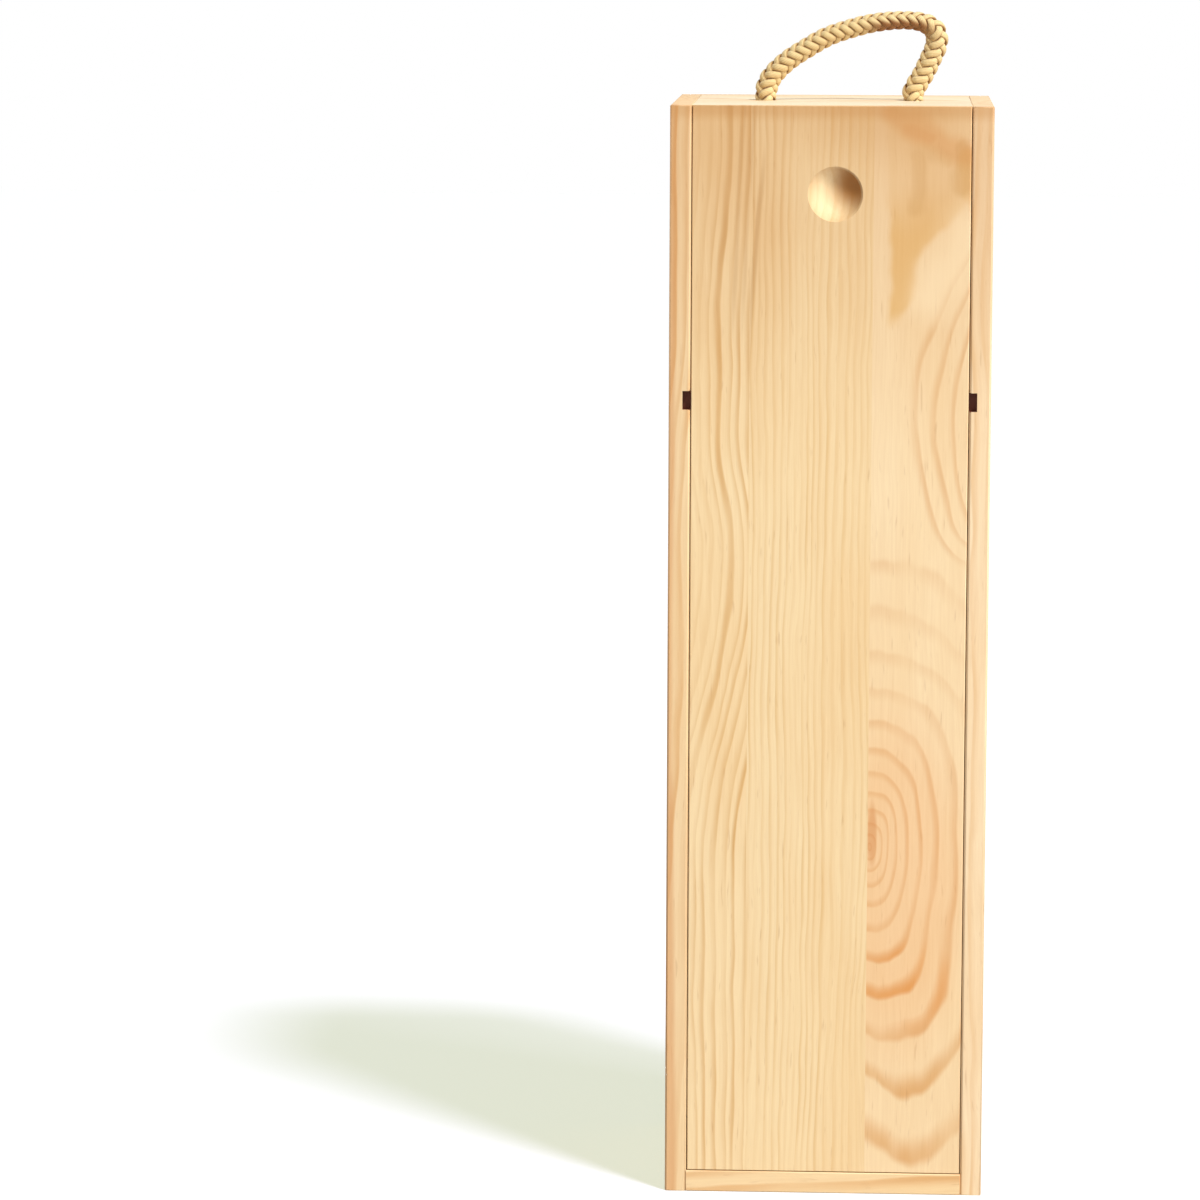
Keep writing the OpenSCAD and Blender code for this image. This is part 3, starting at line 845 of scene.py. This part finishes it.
def resin_flow(tree, place, summer, cloud):
    """Resin that has soaked out from a wound in the tree: golden, pointed below, straight on the
    left, and fading up to the right."""
    face = shaken(tree, place)
    axes = add(tree, "SeparateXYZ", {"Vector": face}).outputs
    limit = 23.0
    for start, end, step in ((288, 302, 4.5), (308, 334, 19.0)):
        part = add(
            tree, "MapRange",
            {"Value": axes["Z"], "From Min": start, "From Max": end, "To Max": step},
            interpolation_type="SMOOTHSTEP",
        ).outputs[0]
        limit = add(tree, "Math", {0: limit, 1: part}, operation="ADD").outputs[0]
    inside = add(tree, "Math", {0: limit, 1: axes["X"]}, operation="SUBTRACT").outputs[0]
    mask = 0.58
    for value, start, end, least in (
        (inside, -1.5, 2.5, 0.0), (axes["X"], 17.2, 20.2, 0.0),
        (axes["Z"], 287.5, 295.0, 0.0), (axes["Z"], 338.0, 316.0, 0.2),
    ):
        part = add(
            tree, "MapRange",
            {"Value": value, "From Min": start, "From Max": end, "To Min": least},
            interpolation_type="SMOOTHSTEP",
        ).outputs[0]
        mask = add(tree, "Math", {0: mask, 1: part}, operation="MULTIPLY").outputs[0]
    side = stroke(tree, face, (44.2, 0, 331), (44.2, 0, 343), 1.0, 5.5, 0.42)
    return add(tree, "Math", {0: mask, 1: side}, operation="MAXIMUM").outputs[0], "#D9A03C"


def resin_arm(tree, place, summer, cloud):
    """Redder resin in an arm over the golden patch, darkest near its upper end."""
    face = shaken(tree, place)
    arm = stroke(tree, face, (20.0, 0, 357.0), (44.0, 0, 344.0), 1.0, 6.5, 0.42)
    core = stroke(tree, face, (26.0, 0, 352.5), (32.0, 0, 349.5), 0.5, 5.5, 0.55)
    return add(tree, "Math", {0: arm, 1: core}, operation="MAXIMUM").outputs[0], "#D5893F"


def resin_legs(tree, place, summer, cloud):
    """Browner resin that runs down on both sides of a paler spot, under the arm."""
    face = shaken(tree, place)
    mask = 0.0
    for start, end, inner, outer, depth in (
        ((28.0, 0, 344.0), (28.0, 0, 327.0), 1.0, 4.2, 0.30),
        ((42.4, 0, 346.0), (42.4, 0, 333.0), 1.2, 4.2, 0.34),
        ((28.0, 0, 345.0), (40.0, 0, 343.0), 1.0, 4.5, 0.20),
    ):
        part = stroke(tree, face, start, end, inner, outer, depth)
        mask = add(tree, "Math", {0: mask, 1: part}, operation="MAXIMUM").outputs[0]
    return mask, "#C08C44"


def pale_sapwood(tree, place, summer, cloud):
    """Cleaner and paler wood along the lower right side of the resin."""
    face = shaken(tree, place)
    return stroke(tree, face, (33.0, 0, 299.0), (43.5, 0, 319.0), 1.0, 14.0, 0.5), "#F9E0B6"


def bold_years(tree, place, summer, cloud):
    """Wide dark rings side by side in the upper left of the lid, leaning to the left downwards."""
    push = add(tree, "CombineXYZ", {"X": cloud}).outputs[0]
    face = add(
        tree, "VectorMath", {0: push, 1: (3, 0, 0), 2: place}, operation="MULTIPLY_ADD"
    ).outputs[0]
    face = add(tree, "VectorMath", {0: face, 1: (1, 0, 1)}, operation="MULTIPLY").outputs[0]
    height = add(tree, "SeparateXYZ", {"Vector": face}).outputs["Z"]
    lines = 0.0
    for start, end, depth, top in (
        ((-26.5, 0, 362.0), (-31.5, 0, 275.0), 0.30, 400.0),
        ((-23.7, 0, 362.0), (-28.1, 0, 280.0), 0.26, 400.0),
        ((-19.5, 0, 358.0), (-24.9, 0, 278.0), 0.42, 352.0),
    ):
        part = stroke(tree, face, start, end, 0.2, 1.35, depth)
        shown = add(
            tree, "MapRange", {"Value": height, "From Min": top, "From Max": top - 24.0},
            interpolation_type="SMOOTHSTEP",
        ).outputs[0]
        part = add(tree, "Math", {0: part, 1: shown}, operation="MULTIPLY").outputs[0]
        lines = add(tree, "Math", {0: lines, 1: part}, operation="MAXIMUM").outputs[0]
    ending = add(
        tree, "MapRange", {"Value": height, "From Min": 274.0, "From Max": 306.0},
        interpolation_type="SMOOTHSTEP",
    ).outputs[0]
    lines = add(tree, "Math", {0: lines, 1: ending}, operation="MULTIPLY").outputs[0]
    near = blot(tree, place, (-28.0, LID_FACE, 338.0), (15, 12, 72), 0.4, 1.2, 0.42)
    near = add(tree, "Math", {0: near, 1: summer}, operation="MULTIPLY").outputs[0]
    return add(tree, "Math", {0: lines, 1: near}, operation="MAXIMUM").outputs[0], "#B07A3C"


def dark_summer_wood(tree, place, summer, cloud):
    """One ring under the oval that is full of resin and almost orange."""
    near = blot(tree, place, (27.0, LID_FACE, 71.0), (17, 12, 14.5), 0.5, 1.2, 1.25)
    return add(
        tree, "Math", {0: near, 1: summer}, operation="MULTIPLY", use_clamp=True
    ).outputs[0], "#DE9448"


def golden_summer_wood(tree, place, summer, cloud):
    """The rings below the oval, yellower than the rest."""
    height = add(tree, "SeparateXYZ", {"Vector": place}).outputs["Z"]
    near = add(
        tree, "MapRange", {"Value": height, "From Min": 60.0, "From Max": 40.0, "To Max": 0.22},
        interpolation_type="SMOOTHSTEP",
    ).outputs[0]
    return add(
        tree, "Math", {0: near, 1: summer}, operation="MULTIPLY", use_clamp=True
    ).outputs[0], "#D9A048"


def rosy_heart(tree, place, summer, cloud):
    """Redder wood inside the oval, round the knot that lies close under the face."""
    return blot(tree, place, (24.0, LID_FACE, 104.0), (24, 14, 62), 0.5, 1.2, 0.38), "#E8A868"


def heart_streak(tree, place, summer, cloud):
    """The middle of the oval, where the face cuts one ring along its length."""
    return blot(tree, place, (15.2, LID_FACE, 121.0), (1.9, 3, 12), 0.5, 1.1, 0.55), "#CF8440"


def painted_top_middle_shade(tree, place, summer, cloud):
    """Painted shade at the top of the lid, in the middle under the rope."""
    near = blot(tree, place, (10.0, LID_FACE, 364.0), (42, 12, 26), 0.3, 1.1, 0.30)
    front = on_front(tree, place)
    return add(tree, "Math", {0: near, 1: front}, operation="MULTIPLY").outputs[0], "#C08644"


def recess_painted_shade(tree, place, summer, cloud):
    """Painted shade on the upper right wall of the recess, inside its rim."""
    depth = add(tree, "SeparateXYZ", {"Vector": place}).outputs["Y"]
    deep = add(
        tree, "MapRange", {"Value": depth, "From Min": -49.55, "From Max": -49.0}
    ).outputs[0]
    near = blot(tree, place, (7.4, -48.0, 334.8), (9.0, 30, 10.5), 0.2, 1.2, 0.95)
    off = spread(tree, place, RECESS_MIDDLE, (RECESS_REACH, 5, RECESS_REACH))
    within = add(tree, "Math", {0: off, 1: 1.0}, operation="LESS_THAN").outputs[0]
    mask = add(tree, "Math", {0: deep, 1: near}, operation="MULTIPLY").outputs[0]
    return add(tree, "Math", {0: mask, 1: within}, operation="MULTIPLY").outputs[0], "#A6671B"


def tongue_painted_shade(tree, place, summer, cloud):
    """Painted shade on the tongue beside the dado, where it shows through the notch."""
    tongue_side, tongue_front = 45.3, -47.0
    axes = add(tree, "SeparateXYZ", {"Vector": place}).outputs
    side = add(tree, "Math", {0: axes["X"]}, operation="ABSOLUTE").outputs[0]
    outer = add(tree, "Math", {0: side, 1: tongue_side}, operation="GREATER_THAN").outputs[0]
    behind = add(tree, "Math", {0: axes["Y"], 1: tongue_front}, operation="GREATER_THAN").outputs[0]
    off = add(tree, "Math", {0: axes["Z"], 1: SUPPORT_MIDDLE}, operation="SUBTRACT").outputs[0]
    off = add(tree, "Math", {0: off}, operation="ABSOLUTE").outputs[0]
    near = add(
        tree, "MapRange",
        {"Value": off, "From Min": 3.4, "From Max": 4.6, "To Min": 0.95, "To Max": 0.0},
        interpolation_type="SMOOTHSTEP",
    ).outputs[0]
    mask = add(tree, "Math", {0: outer, 1: behind}, operation="MULTIPLY").outputs[0]
    return add(tree, "Math", {0: mask, 1: near}, operation="MULTIPLY").outputs[0], "#6A2208"


lid_left = planed("lid_stave_left", arris=0.15, glued=(LID_GLUE_LEFT,))
lid_middle = planed("lid_stave_middle", arris=0.15, glued=(LID_GLUE_LEFT, LID_GLUE_RIGHT))
lid_right = planed("lid_stave_right", arris=0.15, glued=(LID_GLUE_RIGHT,))
lid_left.data.materials.append(
    pine("planed pine, lid left", "#F6DBAB", "#CE9A55", (0, 0, 0), (0, 0, 0), wavy_figure, 31.0,
         faintest=0.0, width=0.6, wave_mm=2.6, marks=(painted_top_shade, bold_years, tongue_painted_shade))
)
lid_middle.data.materials.append(
    pine("planed pine, lid middle", "#F5DAAA", "#DAAE6E", (80, -75, 0), (0.2, 0.3, 0), 2.3, 35.0,
         strength=0.68, wave_mm=3.5,
         marks=(painted_top_shade, painted_top_middle_shade, bold_years, recess_painted_shade, tongue_painted_shade))
)
lid_right.data.materials.append(
    pine("planed pine, lid right", "#F6DBAF", "#D3965A", (0, 0, 0), (0, 0, 0), oval_figure, 38.0,
         strength=0.9, faintest=0.0, width=0.38, wave_mm=1.8,
         marks=(rosy_heart, heart_streak, dark_summer_wood, golden_summer_wood, resin_flow,
                resin_arm, resin_legs, painted_top_shade, pale_sapwood, painted_top_middle_shade, tongue_painted_shade))
)
for piece, slot in (
    (lid_left, "pine_lid_left"), (lid_middle, "pine_lid_middle"), (lid_right, "pine_lid_right")
):
    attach(piece, "lid")


# Brads
# Thin steel nails with small flat heads, driven just below the surface. The steel is bright from
# the wire drawing, with a faint grey film.
steel, tree = new_material("drawn steel wire")
metres = add(tree, "TexCoord").outputs["Object"]
film = add(tree, "TexNoise", {"Vector": metres, "Scale": 900.0, "Detail": 3.0}).outputs["Fac"]
steel_colour = add(
    tree, "Mix", {0: film, 6: srgb("#8E8A84"), 7: srgb("#C4C0B8")}, data_type="RGBA"
).outputs[2]
steel_roughness = add(
    tree, "MapRange", {"Value": film, "To Min": 0.28, "To Max": 0.48}
).outputs[0]
steel_surface = add(
    tree, "BsdfPrincipled",
    {"Base Color": steel_colour, "Metallic": 1.0, "Roughness": steel_roughness},
)
add(tree, "OutputMaterial", {"Surface": steel_surface.outputs["BSDF"]})
for node in ("brads_left", "brads_right", "brads_back"):
    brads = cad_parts[node]
    brads.data.materials.clear()
    brads.data.materials.append(steel)


# Studio
# A white floor, and soft light from the right, high in front of the box, as in the photograph. Two
# wide lamps, beside the camera and behind the box, soften the shadows on it.
def seen_directly(tree):
    """One for what the camera sees itself or in a gloss, and none for light that bounces."""
    path = add(tree, "LightPath").outputs
    seen = path["Is Camera Ray"]
    for ray in ("Is Glossy Ray", "Is Transmission Ray"):
        seen = add(tree, "Math", {0: seen, 1: path[ray]}, operation="MAXIMUM").outputs[0]
    return seen


bm = bmesh.new()
bmesh.ops.create_grid(bm, x_segments=1, y_segments=1, size=6)
floor = finished(bm, "floor")
# The camera sees the floor take the shadow and glow up to white. The box gets the light of a plain
# grey floor.
paper, tree = new_material("white floor")
bounce = add(tree, "BsdfDiffuse", {"Color": (0.50, 0.50, 0.50, 1)}).outputs[0]
shadowed = add(tree, "BsdfDiffuse", {"Color": (0.50, 0.46, 0.68, 1)}).outputs[0]
lit = add(tree, "Emission", {"Color": (0.555, 0.605, 0.40, 1), "Strength": 1.0}).outputs[0]
shown = add(tree, "AddShader", {0: shadowed, 1: lit}).outputs[0]
floor_surface = add(tree, "MixShader", {0: seen_directly(tree), 1: bounce, 2: shown}).outputs[0]
add(tree, "OutputMaterial", {"Surface": floor_surface})
floor.data.materials.append(paper)

world = bpy.data.worlds.new("studio")
world.use_nodes = True
bpy.context.scene.world = world
tree = world.node_tree
tree.nodes.clear()
ambient = add(tree, "Background", {"Color": (1, 1, 1, 1), "Strength": 0.22}).outputs[0]
white = add(tree, "Background", {"Color": (1, 1, 1, 1), "Strength": 1.0}).outputs[0]
backdrop = add(tree, "MixShader", {0: seen_directly(tree), 1: ambient, 2: white}).outputs[0]
add(tree, "OutputWorld", {"Surface": backdrop})


def aim(lamp_data, toward, elevation, distance):
    """Puts a lamp at a compass direction and height, turned to the middle of the box."""
    lamp = bpy.data.objects.new(lamp_data.name, lamp_data)
    rise = math.radians(elevation)
    away = Vector((toward[0] * math.cos(rise), toward[1] * math.cos(rise), math.sin(rise)))
    lamp.matrix_world = (
        Matrix.Translation(Vector((0, 0, BOX_TOP / 2)) + away * distance)
        @ away.to_track_quat("Z", "Y").to_matrix().to_4x4()
    )
    bpy.context.scene.collection.objects.link(lamp)


key = bpy.data.lights.new("key", "SUN")
key.energy = 2.6
key.angle = math.radians(9)
aim(key, toward=(0.64, -0.77), elevation=53.5, distance=2)
side_light = bpy.data.lights.new("side_light", "AREA")
side_light.size = 0.5
side_light.energy = 18
aim(side_light, toward=(0.80, -0.60), elevation=20, distance=1.9)
back_light = bpy.data.lights.new("back_light", "AREA")
back_light.size = 1.2
back_light.energy = 11
aim(back_light, toward=(-0.80, 0.60), elevation=30, distance=2)

bpy.context.scene.view_settings.view_transform = "Standard"
